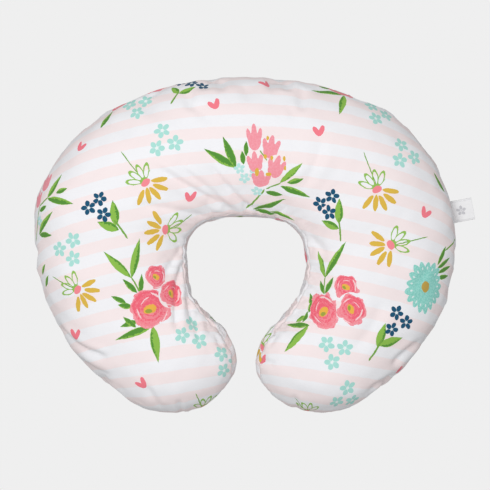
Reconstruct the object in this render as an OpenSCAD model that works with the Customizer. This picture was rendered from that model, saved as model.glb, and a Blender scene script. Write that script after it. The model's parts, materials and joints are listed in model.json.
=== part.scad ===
// Nursing pillow: a C-shaped, fibre-filled pillow in a zipped two-panel slipcover.
// The pillow lies flat on its lower panel. +Z is up, +X is the side with the label, and the C opens
// towards -Y. The origin is under the middle of the back, on the surface that it lies on.
// The stuffed surface is addressed by station, angle and depth:
//   station  turn of the outline from the middle of the back, negative on the -X arm; past the
//            arm's end it runs on over the round tip
//   angle    place around the arm's section: 0 at its outer side, 90 on top, 180 at the hole
//   depth    distance in from the outside of the cover

/* [Outline] */
// Distance from the origin to the outer edge of the back, and to the hole behind it
back_reach = 87.5; // [84:0.5:91]
// Radius of the outer edge along the zip
back_radius = 372; // [360:1:384]
// Radius of the outer edge round the shoulder
shoulder_radius = 190.5; // [186:0.5:194]
// Radius of the outer edge down the arm
arm_radius = 222; // [216:1:228]
// Radius of the hole's edge along the back
waist_radius = 197; // [190:1:204]
// Radius of the hole's edge at its upper corner
hole_corner_radius = 41; // [39:0.5:43]
// Radius of the hole's edge down the arm
hole_side_radius = 97; // [94:0.5:100]
// How far the round tip reaches beyond the arm's end
tip_reach = 71.5; // [68:0.5:74]

/* [Section] */
// Height of the pillow at the middle of the back
back_height = 145; // [138:1:152]
// Height of the pillow at the ends of the arms
arm_height = 124; // [118:1:130]
// Height of the widest level, as a part of the whole height
waist_level = 0.47; // [0.45:0.01:0.49]
// Fullness of the section: 2 is an ellipse, and more is boxier
fullness = 2.2; // [2:0.05:2.4]
// How much deeper than flat the underside would hang if nothing pressed it
sag = 1.06; // [1.04:0.01:1.1]

/* [Cover] */
// Thickness of the cover fabric
cover_thickness = 0.8; // [0.7:0.1:0.9]
// Angle of the outer seam and the zip
outer_seam = -10; // [-12:1:-8]
// Angle of the seam round the hole
hole_seam = 160; // [154:1:164]
// Half of the angle that each seam leaves between the panels
seam_gap = 0.45; // [0.4:0.05:0.6]

/* [Inner pillow] */
// Depth of the outside of the inner casing
casing_depth = 3.4; // [3.3:0.1:3.6]
// Thickness of the casing fabric
casing_thickness = 0.6; // [0.5:0.1:0.7]
// Gap between the casing and the fill
fill_gap = 0.4; // [0.3:0.1:0.6]

/* [Zip] */
// Half of the angle that the zip opening takes on the back arc
zip_span = 22.5; // [20:0.5:22.5]
// Half of the angle between the panels' edges at the zip
zip_slit = 4.2; // [4:0.1:4.6]
// Width of each tape
tape_width = 13.5; // [12:0.5:14]
// Width of each half of the coil
coil_width = 1.7; // [1.5:0.1:1.9]
// Thickness of the coil
coil_height = 1.5; // [1.3:0.1:1.6]
// Length of the slider along the zip
slider_length = 12; // [10:0.5:13]
// Width of the slider across the zip
slider_width = 8.4; // [8:0.2:8.8]
// Length of the pull from its pin to its tip
pull_length = 20; // [16:1:24]

/* [Side label] */
// Station of the label on the outer seam
label_station = 79.2; // [70:0.1:85]
// How far the label stands out of the seam
label_reach = 32; // [28:1:36]
// Width of the label along the seam
label_width = 28; // [24:1:32]
// Thickness of the folded label
label_thickness = 0.8; // [0.6:0.1:1]

/* [Hidden] */

// Outline: each arc is [radius, how far it turns], and the last ends where the round tip begins
end_station = 147;
end_radius = 195;
back_turn = 22.5;
shoulder_turn = 67.5;
arm_turn = 55;
waist_turn = 12;
hole_corner_turn = 66;
outer_arcs = [
    [back_radius, back_turn], [shoulder_radius, shoulder_turn], [arm_radius, arm_turn],
    [end_radius, end_station - back_turn - shoulder_turn - arm_turn]
];
hole_arcs = [
    [waist_radius, waist_turn], [hole_corner_radius, hole_corner_turn],
    [hole_side_radius, end_station - waist_turn - hole_corner_turn]
];
// Direction in which the tip reaches, a little towards the other arm
tip_way = [-0.683, -0.730];

// Sections: the panels' columns are closer together towards the outer seam, where the zip is
columns = 12;
even = [for (c = [0:columns]) c / columns];
few = [0, 0.25, 0.5, 0.75, 1];
close_at_low = [for (x = even) pow(x, 1.5)];
close_at_high = [for (x = even) 1 - pow(1 - x, 1.5)];
stations = [
    for (a = [-90:15:-15]) a - end_station,
    for (i = [16:-1:1]) -zip_end(i),
    for (i = [-8:8]) zip_span * i / 8,
    for (i = [1:16]) zip_end(i),
    for (a = [15:15:90]) a + end_station
];
casing_seams = [0, 180];
// Depth by which the underside is pressed flat against what it lies on
pressed = 0.3;
fill_depth = casing_depth + casing_thickness + fill_gap;
// Room that takes in everything under the pillow, whose corner is at room_corner
room = [600, 550, 10];
room_corner = [-300, -400, -10];
// Seam thread
thread_depth = 0.15;
thread_thickness = 0.6;
casing_thread_inset = 0.1;

// Labels: gap between the cover and the side label, and the places of the two hidden tags
label_gap = 0.5;
tag_thickness = 0.3;
care_stations = [32, 36, 40];
care_angles = [-44, outer_seam - 2];
care_depth = 2.4;
casing_tag_stations = [-64, -60, -56];
casing_tag_angles = [100, 130];
casing_tag_depth = 2.8;

// Zip
zip_centre = back_reach - back_radius;
half_back = back_reach;
seam_r = back_radius - half_back + section(outer_seam, half_back, back_height)[0];
seam_z = section(outer_seam, half_back, back_height)[1];
zip_tilt = 10.3;
tape_depth = 1.5;
tape_thickness = 0.5;
tape_end = zip_span - 0.3;
tape_root = 0.4;
tape_steps = 5;
// Length along the section for each degree of its angle, beside the zip
mm_per_degree = 1.33;
coil_gap = 0.35;
coil_end = 21.3;
stop_turn = 0.4;
stop_gap = 0.1;
stop_rise = 0.3;
slider_stop = 20.3;
plate = 0.6;
plate_clear = 0.3;
coil_base = 0.1 - tape_depth;
lip = 1.3;
lip_width = 0.7;
round_r = 2.4;
pin_radius = 0.7;
pin_clear = 0.05;
eye_radius = 1.6;
pin_height = 2.9;
ear_inside = 1.5;
ear_width = 1;
ear_length = 3;
ear_over_pin = 1;
web_start = 1;
web_length = 4;
web_width = 0.4;
overlap = 0.1;
pull_width = 5.6;
pull_thickness = 1.1;
pull_side_gap = 0.4;
neck_length = 5.2;
tab_start = 4.2;
pull_hole_radius = 1.5;

// The i-th of 16 stations from the end of the zip to the end of the arm
function zip_end(i) = zip_span + (end_station - zip_span) * i / 16;

// Unit vector that points outwards where the outline has turned by h
function outwards(h) = [sin(h), cos(h)];

// Point of a chain of arcs where it has turned by h, from point p where it had turned by from
function along(arcs, h, p, from = 0, i = 0) =
    h <= from + arcs[i][1] || i == len(arcs) - 1
        ? p + arcs[i][0] * (outwards(h) - outwards(from))
        : along(arcs, h, p + arcs[i][0] * (outwards(from + arcs[i][1]) - outwards(from)),
                from + arcs[i][1], i + 1);

// Height of the pillow at a turn of the outline
function height_at(h) =
    let (t = max(0, h - zip_span) / (end_station - zip_span))
    back_height + (arm_height - back_height) * t * t * (3 - 2 * t);

// One side of a superellipse, from the sine or cosine of its angle
function bulge(x) = sign(x) * pow(abs(x), 2 / fullness);

// [across, up] of the section at an angle, for a half width and a height, at a depth,
// shrunk by k towards the middle as it is on the tip
function section(angle, half, height, depth = 0, k = 1) =
    let (
        level = waist_level * height,
        rise = angle > 0 && angle < 180 ? height - level : sag * level
    )
    [
        (half - depth) * k * bulge(cos(angle)),
        max(depth - pressed, level + (rise - depth) * k * bulge(sin(angle)))
    ];

// Point of the stuffed surface at a station, angle and depth
function skin(station, angle, depth) =
    let (
        side = station < 0 ? -1 : 1,
        turn = min(abs(station), end_station),
        over = max(0, abs(station) - end_station),
        outer = along(outer_arcs, turn, [0, back_reach]),
        hole = along(hole_arcs, turn, [0, -back_reach]),
        half = norm(outer - hole) / 2,
        across = (outer - hole) / (2 * half),
        middle = (outer + hole) / 2 + tip_way * (tip_reach - depth) * sin(over),
        p = section(angle, half, height_at(turn), depth, cos(over)),
        place = middle + across * p[0]
    )
    [side * place[0], place[1], p[1]];

// Grid of points over a list of stations, between two lists of angles, at a depth
function skin_grid(at, low, high, depth, spread) = [
    for (i = [0:len(at) - 1], x = spread) skin(at[i], low[i] + (high[i] - low[i]) * x, depth)
];

// The two triangles of a four-sided face
function quad(a, b, c, d) = [[a, b, c], [a, c, d]];

// A sheet of fabric between two depths, as wide at each station as its two lists of angles say
module skin_sheet(at, low, high, depth, thickness, spread = even) {
    rows = len(at);
    wide = len(spread);
    cols = wide - 1;
    inner = rows * wide;
    points = concat(
        skin_grid(at, low, high, depth, spread),
        skin_grid(at, low, high, depth + thickness, spread)
    );
    faces = [
        for (i = [0:rows - 2], c = [0:cols - 1])
            let (a = i * wide + c, b = a + wide)
            for (f = concat(quad(a, b, b + 1, a + 1),
                            quad(inner + a, inner + a + 1, inner + b + 1, inner + b))) f,
        for (i = [0:rows - 2], c = [0, cols])
            let (a = i * wide + c, b = a + wide)
            for (f = c == 0 ? quad(a, inner + a, inner + b, b) : quad(a, b, inner + b, inner + a)) f,
        for (i = [0, rows - 1], c = [0:cols - 1])
            let (a = i * wide + c)
            for (f = i == 0 ? quad(a, a + 1, inner + a + 1, inner + a)
                            : quad(a, inner + a, inner + a + 1, a + 1)) f
    ];
    polyhedron(points, faces);
}

// The same angle at every station of a list
function level_line(at, angle) = [for (s = at) angle];

// Lower and upper edges of the cover's panels at the outer seam, drawn back along the zip
function seam_edge(at, way) = [
    for (s = at) outer_seam + way * (abs(s) <= zip_span ? zip_slit : seam_gap)
];

// A row of seam thread, in the gap that the panels leave
module seam_thread(at, angle, depth, thickness) {
    skin_sheet(at, level_line(at, angle - seam_gap / 2), level_line(at, angle + seam_gap / 2),
               depth, thickness, [0, 1]);
}

module cover_upper_panel() {
    color("#eee3e6")
    skin_sheet(stations, seam_edge(stations, 1), level_line(stations, hole_seam - seam_gap),
               0, cover_thickness, close_at_low);
}

// Its underside is pressed flat, which is the face that the pillow lies on
module cover_lower_panel() {
    color("#f0e4e6")
    difference() {
        skin_sheet(stations, level_line(stations, hole_seam + seam_gap - 360),
                   seam_edge(stations, -1), 0, cover_thickness, close_at_high);
        translate(room_corner)
        cube(room);
    }
}

module cover_outer_seam() {
    arm = [for (s = stations) if (s >= zip_span) s];
    color("#f4eeee")
    for (side = [0, 1])
        mirror([side, 0, 0])
        seam_thread(arm, outer_seam, thread_depth, thread_thickness);
}

module cover_hole_seam() {
    color("#f4eeee")
    seam_thread(stations, hole_seam, thread_depth, thread_thickness);
}

// A profile in the zip's own section, turned about the back's centre between two turns
module zip_sweep(from, to) {
    translate([0, zip_centre, 0])
    rotate([0, 0, 90 - to])
    rotate_extrude(angle = to - from, $fn = 360)
    children();
}

// Places a profile at the seam: +X is outwards and +Y is up along the cover
module at_seam() {
    translate([seam_r, seam_z])
    rotate(-zip_tilt)
    children();
}

// One tape follows the inside of its panel; way is 1 above the seam and -1 below it
module zip_tape(way) {
    reach = tape_width / mm_per_degree;
    angles = [
        for (i = [0:tape_steps]) outer_seam + way * (tape_root + (reach - tape_root) * i / tape_steps)
    ];
    function rim(depth, a) = [back_radius - half_back, 0] + section(a, half_back, back_height, depth);
    zip_sweep(-tape_end, tape_end)
    polygon(concat(
        [for (a = angles) rim(tape_depth, a)],
        [for (i = [tape_steps:-1:0]) rim(tape_depth + tape_thickness, angles[i])]
    ));
}

module zip_tape_upper() {
    color("#e9e6e4")
    zip_tape(1);
}

module zip_tape_lower() {
    color("#e9e6e4")
    zip_tape(-1);
}

// One half of the closed coil, which lies on the outside of its tape
module zip_coil(way) {
    low = way > 0 ? coil_gap : -coil_gap - coil_width;
    zip_sweep(-coil_end, coil_end)
    at_seam()
    translate([coil_base, low])
    square([coil_height, coil_width]);
}

module zip_coil_upper() {
    color("#f7f5f2")
    zip_coil(1);
}

module zip_coil_lower() {
    color("#f7f5f2")
    zip_coil(-1);
}

// Two small clamps that stop the slider where the zip is closed
module zip_top_stops() {
    color("#c9c9cc")
    zip_sweep(coil_end + stop_gap, coil_end + stop_gap + stop_turn)
    at_seam()
    for (low = [coil_gap, -coil_gap - coil_width])
        translate([coil_base, low])
        square([coil_height + stop_rise, coil_width]);
}

// One wide clamp that joins the two tapes where the zip is open
module zip_bottom_stop() {
    color("#c9c9cc")
    zip_sweep(-coil_end - stop_gap - stop_turn, -coil_end - stop_gap)
    at_seam()
    translate([coil_base, -coil_gap - coil_width])
    square([coil_height + stop_rise, 2 * (coil_gap + coil_width)]);
}

// Places a solid at a turn of the zip: +X along it, +Y outwards, +Z up along the cover
module at_zip(turn) {
    translate([0, zip_centre, 0])
    rotate([0, 0, -turn])
    translate([0, seam_r, seam_z])
    rotate([-zip_tilt, 0, 0])
    children();
}

// A plate of the slider with rounded corners; low is its inner face's height
module slider_plate(low) {
    translate([0, low + plate, 0])
    rotate([90, 0, 0])
    linear_extrude(plate)
    union() {
        square([slider_length - 2 * round_r, slider_width], center = true);
        square([slider_length, slider_width - 2 * round_r], center = true);
        for (x = [-1, 1], y = [-1, 1])
            translate([x * (slider_length / 2 - round_r), y * (slider_width / 2 - round_r)])
            circle(r = round_r, $fn = 32);
    }
}

// Two plates round the coil, joined by a web between its halves. The outer plate has a lip along
// each side that reaches towards the tape, and ears for the pull's pin.
module zip_slider() {
    outer_face = coil_base + coil_height + plate_clear;
    inner_face = -tape_depth - tape_thickness - plate_clear;
    color("#b9babd")
    at_zip(slider_stop)
    union() {
        slider_plate(outer_face);
        slider_plate(inner_face - plate);
        for (z = [-slider_width / 2, slider_width / 2 - lip_width])
            translate([round_r - slider_length / 2, outer_face - lip, z])
            cube([slider_length - 2 * round_r, lip, lip_width]);
        translate([web_start, inner_face - overlap, -web_width / 2])
        cube([web_length, outer_face - inner_face + 2 * overlap, web_width]);
        for (z = [ear_inside, -ear_inside - ear_width])
            translate([-ear_length / 2, outer_face, z])
            cube([ear_length, pin_height - outer_face + ear_over_pin, ear_width]);
        translate([0, pin_height, -ear_inside - ear_width / 2])
        cylinder(r = pin_radius, h = 2 * ear_inside + ear_width, $fn = 24);
    }
}

// A flat tab with an eye round the slider's pin and a round hole through its free end
module zip_pull() {
    eye_width = 2 * ear_inside - pull_side_gap;
    hole_place = pull_width / 2 - pull_length;
    color("#b9babd")
    at_zip(slider_stop)
    translate([0, pin_height, 0])
    difference() {
        union() {
            translate([0, 0, -eye_width / 2])
            cylinder(r = eye_radius, h = eye_width, $fn = 32);
            translate([-neck_length, -pull_thickness / 2, -eye_width / 2])
            cube([neck_length, pull_thickness, eye_width]);
            translate([0, pull_thickness / 2, 0])
            rotate([90, 0, 0])
            linear_extrude(pull_thickness)
            union() {
                translate([hole_place, -pull_width / 2])
                square([-hole_place - tab_start, pull_width]);
                translate([hole_place, 0])
                circle(d = pull_width, $fn = 48);
            }
        }
        translate([0, 0, -eye_width])
        cylinder(r = pin_radius + pin_clear, h = 2 * eye_width, $fn = 24);
        translate([hole_place, pull_thickness, 0])
        rotate([90, 0, 0])
        cylinder(r = pull_hole_radius, h = 2 * pull_thickness, $fn = 32);
    }
}

// A folded ribbon that stands straight out of the outer seam
module side_label() {
    root = skin(label_station, outer_seam, 0);
    color("#fbfbfb")
    translate(root)
    rotate([0, 0, 90 - label_station])
    translate([label_gap, -label_width / 2, -label_thickness / 2])
    cube([label_reach, label_width, label_thickness]);
}

// A tag sewn into the cover's seam, which lies against the inside of the lower panel
module cover_care_label() {
    color("#fafafa")
    skin_sheet(care_stations, level_line(care_stations, care_angles[0]),
               level_line(care_stations, care_angles[1]), care_depth, tag_thickness, few);
}

module casing_upper_panel() {
    color("#f5f3ee")
    skin_sheet(stations, level_line(stations, casing_seams[0] + seam_gap),
               level_line(stations, casing_seams[1] - seam_gap), casing_depth, casing_thickness);
}

module casing_lower_panel() {
    color("#f5f3ee")
    skin_sheet(stations, level_line(stations, casing_seams[1] + seam_gap - 360),
               level_line(stations, casing_seams[0] - seam_gap), casing_depth, casing_thickness);
}

module casing_seam() {
    color("#ffffff")
    for (angle = casing_seams)
        seam_thread(stations, angle, casing_depth + casing_thread_inset,
                    casing_thickness - 2 * casing_thread_inset);
}

// A tag on the upper panel of the casing, beside the hole
module casing_label() {
    color("#fafafa")
    skin_sheet(casing_tag_stations, level_line(casing_tag_stations, casing_tag_angles[0]),
               level_line(casing_tag_stations, casing_tag_angles[1]), casing_tag_depth, tag_thickness,
               few);
}

// The stuffing, as one solid that fills the casing
module fibre_fill() {
    rows = len(stations);
    around = 2 * columns;
    color("#fdfdfb")
    polyhedron(
        [for (s = stations, c = [0:around - 1]) skin(s, 360 * c / around, fill_depth)],
        [
            for (i = [0:rows - 2], c = [0:around - 1])
                let (a = i * around, b = a + around, n = (c + 1) % around)
                for (f = quad(a + c, b + c, b + n, a + n)) f
        ]
    );
}

cover_upper_panel();
cover_lower_panel();
cover_outer_seam();
cover_hole_seam();
zip_tape_upper();
zip_tape_lower();
zip_coil_upper();
zip_coil_lower();
zip_top_stops();
zip_bottom_stop();
zip_slider();
zip_pull();
side_label();
cover_care_label();
casing_upper_panel();
casing_lower_panel();
casing_seam();
casing_label();
fibre_fill();
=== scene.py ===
"""Looks of a C-shaped nursing pillow around its CAD frame.

The cover is one stuffed skin, puffed up as cloth, creased by listed folds and then cut into its
two panels. The print is worked out by nodes from the fabric's own flat coordinates.
Lengths are in millimetres until a mesh is made. A place on the skin is a station along the C, an angle
round the arm and a depth inwards, as in the CAD part.
"""
import json
import math

import bmesh
import bpy
import numpy as np
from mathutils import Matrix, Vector
from mathutils.kdtree import KDTree


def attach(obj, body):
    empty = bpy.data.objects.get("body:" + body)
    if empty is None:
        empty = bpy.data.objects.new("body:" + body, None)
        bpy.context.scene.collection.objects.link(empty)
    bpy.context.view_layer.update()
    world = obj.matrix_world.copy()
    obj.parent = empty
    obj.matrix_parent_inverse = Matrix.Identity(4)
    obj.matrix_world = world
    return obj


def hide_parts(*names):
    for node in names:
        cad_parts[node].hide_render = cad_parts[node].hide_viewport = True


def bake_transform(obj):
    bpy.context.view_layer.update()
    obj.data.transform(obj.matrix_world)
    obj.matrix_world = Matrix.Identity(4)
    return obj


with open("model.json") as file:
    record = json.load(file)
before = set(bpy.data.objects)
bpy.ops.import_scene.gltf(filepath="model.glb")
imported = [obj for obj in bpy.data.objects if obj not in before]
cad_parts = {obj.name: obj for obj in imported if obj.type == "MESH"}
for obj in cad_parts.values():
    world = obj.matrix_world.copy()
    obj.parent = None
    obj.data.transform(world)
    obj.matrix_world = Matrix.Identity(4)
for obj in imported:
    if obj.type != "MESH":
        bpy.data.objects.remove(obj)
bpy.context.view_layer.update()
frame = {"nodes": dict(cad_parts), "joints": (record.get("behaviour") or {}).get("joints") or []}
scene = bpy.context.scene
MM = 0.001
# Points on a curve whose length is measured
MEASURED = 2000

# Outline of the C: each arc is (radius, degrees that it turns), from the middle of the back
BACK_REACH = 87.5
BACK_RADIUS, BACK_TURN = 372, 22.5
OUTER_ARCS = ((BACK_RADIUS, BACK_TURN), (190.5, 67.5), (222, 55), (195, 2))
HOLE_ARCS = ((197, 12), (41, 66), (97, 69))
ARM_END = 147
TIP_REACH = 71.5
TIP_WAY = np.array((-0.683, -0.730))
LAST_STATION = ARM_END + 90

# Section of the arms
BACK_HEIGHT, ARM_HEIGHT = 145, 124
WAIST_LEVEL = 0.47
FULLNESS = 2.2
SAG = 1.06
OUTER_SEAM, HOLE_SEAM = -10, 160

# Zip: half of its turn, the centre of its arc, and how far the surface leans at its seam
ZIP_SPAN = BACK_TURN
ZIP_CENTRE = BACK_REACH - BACK_RADIUS
ZIP_TILT = 10.3

# Layers, from the outside of the cover inwards
COVER_THICKNESS = 0.8
CASING_DEPTH = 3.2
CASING_THICKNESS = 0.5
FILL_DEPTH = 4.2


# -------- shape of the skin

def outwards(turn):
    """Unit vectors that point outwards where the outline has turned by so many degrees."""
    return np.stack((np.sin(np.radians(turn)), np.cos(np.radians(turn))), -1)


def along(arcs, turn, start):
    """Points of a chain of arcs where it has turned by each of an array of angles."""
    place = np.array(start, float)
    begun = 0
    for radius, sweep in arcs:
        reached = np.clip(turn, begun, begun + sweep)
        place = place + radius * (outwards(reached) - outwards(begun))
        begun += sweep
    return place


def smooth_step(low, high, value):
    t = np.clip((value - low) / (high - low), 0, 1)
    return t * t * (3 - 2 * t)


def bulge(x):
    return np.sign(x) * abs(x) ** (2 / FULLNESS)


def arm(turn):
    """Middle of the arm in plan, the way across it, and half of its width, where x is positive."""
    outer = along(OUTER_ARCS, turn, (0, BACK_REACH))
    hole = along(HOLE_ARCS, turn, (0, -BACK_REACH))
    half = np.linalg.norm(outer - hole, axis=-1) / 2
    return (outer + hole) / 2, (outer - hole) / (2 * half[..., None]), half


def skin(station, angle, depth=0.0):
    """Points of the stuffed surface."""
    station, angle = np.broadcast_arrays(np.asarray(station, float), np.asarray(angle, float))
    turn = np.minimum(abs(station), ARM_END)
    over = np.radians(np.maximum(0, abs(station) - ARM_END))
    middle, across, half = arm(turn)
    middle = middle + TIP_WAY * ((TIP_REACH - depth) * np.sin(over))[..., None]
    height = BACK_HEIGHT + (ARM_HEIGHT - BACK_HEIGHT) * smooth_step(ZIP_SPAN, ARM_END, turn)
    level = WAIST_LEVEL * height
    sine = np.sin(np.radians(angle))
    rise = np.where(sine > 0, height - level, SAG * level)
    shrink = np.cos(over)
    place = middle + across * ((half - depth) * shrink * bulge(np.cos(np.radians(angle))))[..., None]
    up = np.maximum(depth, level + (rise - depth) * shrink * bulge(sine))
    return np.stack((np.where(station < 0, -1, 1) * place[..., 0], place[..., 1], up), -1)


def run_length(points, axis=0):
    """Length along a line of points up to each of them."""
    steps = np.linalg.norm(np.diff(points, axis=axis), axis=-1)
    return np.concatenate((np.zeros_like(steps.take([0], axis)), np.cumsum(steps, axis)), axis)


def ring_stations(count):
    """Stations from tip to tip, evenly spaced between the crown and the outer edge."""
    fine = np.linspace(0, LAST_STATION, MEASURED)
    length = run_length((skin(fine, 0) + skin(fine, 90)) / 2)
    half = np.interp(np.linspace(0, length[-1], count + 1), length, fine)
    return np.concatenate((-half[:0:-1], half))


def ring_angles(low, high, count):
    """Angles between two seams, evenly spaced round the section."""
    fine = np.linspace(low, high, MEASURED)
    length = run_length(skin(60, fine))
    return np.interp(np.linspace(0, length[-1], count + 1), length, fine)


def refine(values, times, closed=False):
    """Catmull-Rom rows between those of an array; closed joins its last row to its first."""
    if closed:
        before, after, next_after = (np.roll(values, k, 0) for k in (1, -1, -2))
        start = values
    else:
        longer = np.concatenate((2 * values[:1] - values[1:2], values, 2 * values[-1:] - values[-2:-1]))
        before, start, after, next_after = longer[:-3], longer[1:-2], longer[2:-1], longer[3:]
    parts = []
    for k in range(times):
        t = k / times
        parts.append(start + 0.5 * t * (
            after - before
            + t * (2 * before - 5 * start + 4 * after - next_after)
            + t * t * (3 * start - before - 3 * after + next_after)
        ))
    rows = np.stack(parts, 1).reshape(-1, *values.shape[1:])
    return rows if closed else np.concatenate((rows, values[-1:]))


def refine_grid(grid, times):
    """A closed grid of rings, made finer both ways."""
    rings = refine(grid, times)
    return refine(rings.swapaxes(0, 1), times, closed=True).swapaxes(0, 1)


def normals(grid):
    """Outward unit normals of a closed grid of rings that starts and ends at a pole."""
    around = np.roll(grid, -1, 1) - np.roll(grid, 1, 1)
    n = np.cross(around, np.gradient(grid, axis=0))
    n[0], n[-1] = n[2].mean(0), n[-3].mean(0)
    n /= np.maximum(np.linalg.norm(n, axis=-1, keepdims=True), 1e-9)
    return n * np.sign((n * (grid - grid.mean(1, keepdims=True))).sum())


def soften(grid, times):
    """Averages each point of a closed grid with its neighbours, and keeps the poles."""
    for _ in range(times):
        beside = (np.roll(grid, 1, 1) + np.roll(grid, -1, 1)) / 2
        inner = (beside[1:-1] + (grid[:-2] + grid[2:]) / 2) / 2
        grid = np.concatenate((grid[:1], (grid[1:-1] + inner) / 2, grid[-1:]))
    return grid


# -------- meshes from grids

def add_data(name, data):
    obj = bpy.data.objects.new(name, data)
    scene.collection.objects.link(obj)
    return obj


def add_object(name, points, faces, uv=None):
    """A smooth-shaded object from points in millimetres, with the fabric's flat coordinates if given."""
    mesh = bpy.data.meshes.new(name)
    mesh.from_pydata(np.asarray(points, float).reshape(-1, 3) * MM, [], faces)
    if uv is not None:
        corners = np.empty(len(mesh.loops), np.int32)
        mesh.loops.foreach_get("vertex_index", corners)
        flat = np.asarray(uv, float).reshape(-1, 2)[corners] * MM
        mesh.uv_layers.new(name="fabric").uv.foreach_set("vector", flat.astype(np.float32).ravel())
    mesh.polygons.foreach_set("use_smooth", np.ones(len(mesh.polygons), bool))
    return add_data(name, mesh)


def grid_faces(rows, cols, closed=False, first=0, flip=False):
    """Quads of a grid of points; closed joins the last column to the first."""
    r, c = np.meshgrid(np.arange(rows - 1), np.arange(cols if closed else cols - 1), indexing="ij")
    a, b = r * cols + c, r * cols + (c + 1) % cols
    quads = np.stack((a, b, b + cols, a + cols), -1).reshape(-1, 4) + first
    return (quads[:, ::-1] if flip else quads).tolist()


def weld(obj, distance=0.002):
    """Joins the points that lie together, such as those of a pole, and turns every face outwards."""
    bm = bmesh.new()
    bm.from_mesh(obj.data)
    bmesh.ops.remove_doubles(bm, verts=bm.verts, dist=distance * MM)
    bmesh.ops.dissolve_degenerate(bm, edges=bm.edges, dist=distance * MM)
    bmesh.ops.recalc_face_normals(bm, faces=bm.faces)
    bm.to_mesh(obj.data)
    bm.free()
    return obj


def closed_object(name, grid, uv=None):
    """A closed piece from a grid of rings that starts and ends at a pole."""
    rows, cols = grid.shape[:2]
    return weld(add_object(name, grid, grid_faces(rows, cols, closed=True), uv))


def sheet_normals(grid):
    """Outward unit normals of an open grid of points that curves round a middle."""
    n = np.cross(np.gradient(grid, axis=1), np.gradient(grid, axis=0))
    length = np.linalg.norm(n, axis=-1, keepdims=True)
    n = np.where(length > 1e-6, n / np.maximum(length, 1e-9), 0)
    return n * np.sign((n * (grid - grid.reshape(-1, 3).mean(0))).sum())


def sheet_object(name, outer, thickness, uv=None):
    """A closed sheet of even thickness under an open grid of points."""
    rows, cols = outer.shape[:2]
    inner = outer - thickness * sheet_normals(outer)
    rim = rows * cols
    faces = grid_faces(rows, cols) + grid_faces(rows, cols, first=rim, flip=True)
    for side in (0, cols - 1):
        a = np.arange(rows - 1) * cols + side
        faces += np.stack((a, a + cols, a + cols + rim, a + rim), -1).tolist()
    for end in (0, (rows - 1) * cols):
        a = end + np.arange(cols - 1)
        faces += np.stack((a, a + 1, a + 1 + rim, a + rim), -1).tolist()
    points = np.concatenate((outer.reshape(-1, 3), inner.reshape(-1, 3)))
    both = None if uv is None else np.concatenate((uv.reshape(-1, 2),) * 2)
    return weld(add_object(name, points, faces, both))


def tube(path, radius, sides):
    """Points and faces of a tube along a path, with one radius for each of its points."""
    way = np.gradient(path, axis=0)
    way /= np.linalg.norm(way, axis=1, keepdims=True)
    aside = np.cross(way, (0.02, 0.01, 1))
    aside /= np.linalg.norm(aside, axis=1, keepdims=True)
    above = np.cross(aside, way)
    turn = np.arange(sides) * 2 * math.pi / sides
    ring = np.cos(turn)[:, None] * aside[:, None] + np.sin(turn)[:, None] * above[:, None]
    points = path[:, None] + ring * np.broadcast_to(radius, len(path))[:, None, None]
    ends = [list(range(sides))[::-1], list(range((len(path) - 1) * sides, len(path) * sides))]
    return points.reshape(-1, 3), grid_faces(len(path), sides, closed=True) + ends


def tubes_object(name, paths, radius_at, sides):
    """One object of several tubes; radius_at gives the radii for the lengths along each path."""
    points, faces = [], []
    first = 0
    for path in paths:
        p, f = tube(path, radius_at(run_length(path)), sides)
        points.append(p)
        faces += [[i + first for i in face] for face in f]
        first += len(p)
    return weld(add_object(name, np.concatenate(points), faces))


def spaced(path, step):
    """The same path with its points evenly spaced."""
    length = run_length(path)
    at = np.linspace(0, length[-1], max(2, round(length[-1] / step)))
    return np.stack([np.interp(at, length, path[:, k]) for k in range(3)], -1)


# -------- cloth

RINGS_EACH_WAY = 64
UPPER_COLUMNS, LOWER_COLUMNS = 36, 38
FINER = 3
SIM_FRAMES = 20
MOST_MOVED = 7.0
SWELL_KEPT = 0.25
ZIP_HELD = 16.0
FLOOR_HELD = 3.0
TIGHT_REACH = 7.0
CLOTH = {
    "quality": 6, "mass": 0.2, "tension_stiffness": 18, "compression_stiffness": 18, "shear_stiffness": 6,
    "bending_stiffness": 0.25, "use_pressure": True, "uniform_pressure_force": 5,
    "vertex_group_mass": "held", "pin_stiffness": 10,
    "vertex_group_shrink": "tight", "shrink_min": -0.05, "shrink_max": 0.02,
}


def zip_distance(points):
    """Distance of each point from the seam line of the zip."""
    turn = np.degrees(np.arctan2(points[..., 0], points[..., 1] - ZIP_CENTRE))
    past = np.maximum(abs(turn) - ZIP_SPAN, 0) * math.radians(BACK_RADIUS)
    line = skin(0, OUTER_SEAM)
    reach = np.hypot(points[..., 0], points[..., 1] - ZIP_CENTRE) - (line[1] - ZIP_CENTRE)
    return np.sqrt(past ** 2 + reach ** 2 + (points[..., 2] - line[2]) ** 2)


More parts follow.
